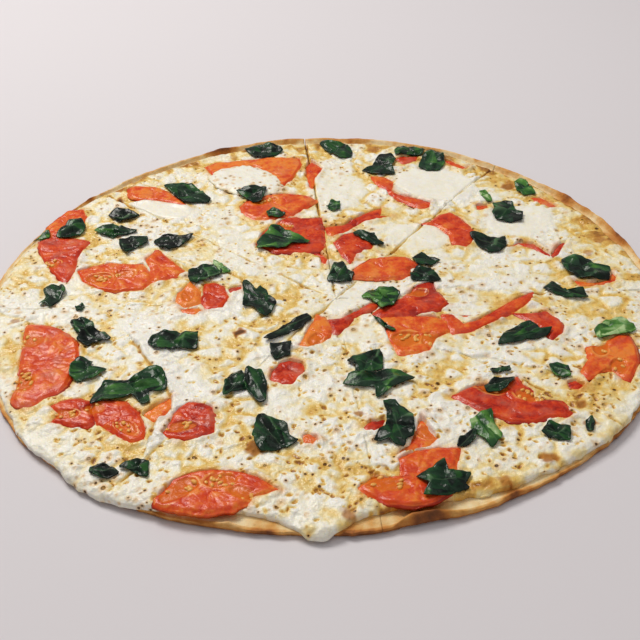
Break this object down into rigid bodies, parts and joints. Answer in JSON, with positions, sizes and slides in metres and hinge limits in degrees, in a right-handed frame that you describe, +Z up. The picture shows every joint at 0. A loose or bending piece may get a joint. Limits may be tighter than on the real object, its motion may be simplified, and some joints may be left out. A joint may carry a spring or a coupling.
{
  "type": "thin crust pizza",
  "caption": "Round thin crust pizza cut in slices that lie together, with melted mozzarella, baked tomato slices and torn basil leaves.",
  "frame": {"origin": "on the surface it lies on, at the middle of the round", "axes": "+Z up through the toppings, +Y away from the near side of the picture, +X to its right"},
  "size_m": [0.4004, 0.4057, 0.0166],
  "materials": {
    "crust": "baked thin dough, tan, browned on the outer edge",
    "cheese": "melted mozzarella, satin, speckled golden brown",
    "mozzarella": "soft fresh mozzarella, smooth and moist",
    "tomato": "baked tomato, wet",
    "basil": "wilted basil leaf, lightly oiled"
  },
  "bodies": {
    "root": {"crust_slice_1": "crust", "crust_slice_2": "crust", "crust_slice_3": "crust", "crust_slice_4": "crust", "crust_slice_5": "crust", "crust_slice_6": "crust", "crust_slice_7": "crust", "crust_slice_8": "crust", "cheese": "cheese", "mozzarella_slice": "mozzarella", "tomato_slice_01": "tomato", "tomato_slice_02": "tomato", "tomato_slice_03": "tomato", "tomato_slice_04": "tomato", "tomato_slice_05": "tomato", "tomato_slice_06": "tomato", "tomato_slice_07": "tomato", "tomato_slice_08": "tomato", "tomato_slice_09": "tomato", "tomato_slice_10": "tomato", "tomato_slice_11": "tomato", "tomato_slice_12": "tomato", "tomato_slice_13": "tomato", "tomato_slice_14": "tomato", "tomato_slice_15": "tomato", "tomato_slice_16": "tomato", "tomato_slice_17": "tomato", "tomato_slice_18": "tomato", "tomato_slice_19": "tomato", "tomato_slice_20": "tomato", "tomato_slice_21": "tomato", "tomato_slice_22": "tomato", "tomato_slice_23": "tomato", "tomato_slice_24": "tomato", "tomato_slice_25": "tomato", "basil_leaf_01": "basil", "basil_leaf_02": "basil", "basil_leaf_03": "basil", "basil_leaf_04": "basil", "basil_leaf_05": "basil", "basil_leaf_06": "basil", "basil_leaf_07": "basil", "basil_leaf_08": "basil", "basil_leaf_09": "basil", "basil_leaf_10": "basil", "basil_leaf_11": "basil", "basil_leaf_12": "basil", "basil_leaf_13": "basil", "basil_leaf_14": "basil", "basil_leaf_15": "basil", "basil_leaf_16": "basil", "basil_leaf_17": "basil", "basil_leaf_18": "basil", "basil_leaf_19": "basil", "basil_leaf_20": "basil", "basil_leaf_21": "basil", "basil_leaf_22": "basil", "basil_leaf_23": "basil", "basil_leaf_24": "basil", "basil_leaf_25": "basil"}
  },
  "joints": []
}
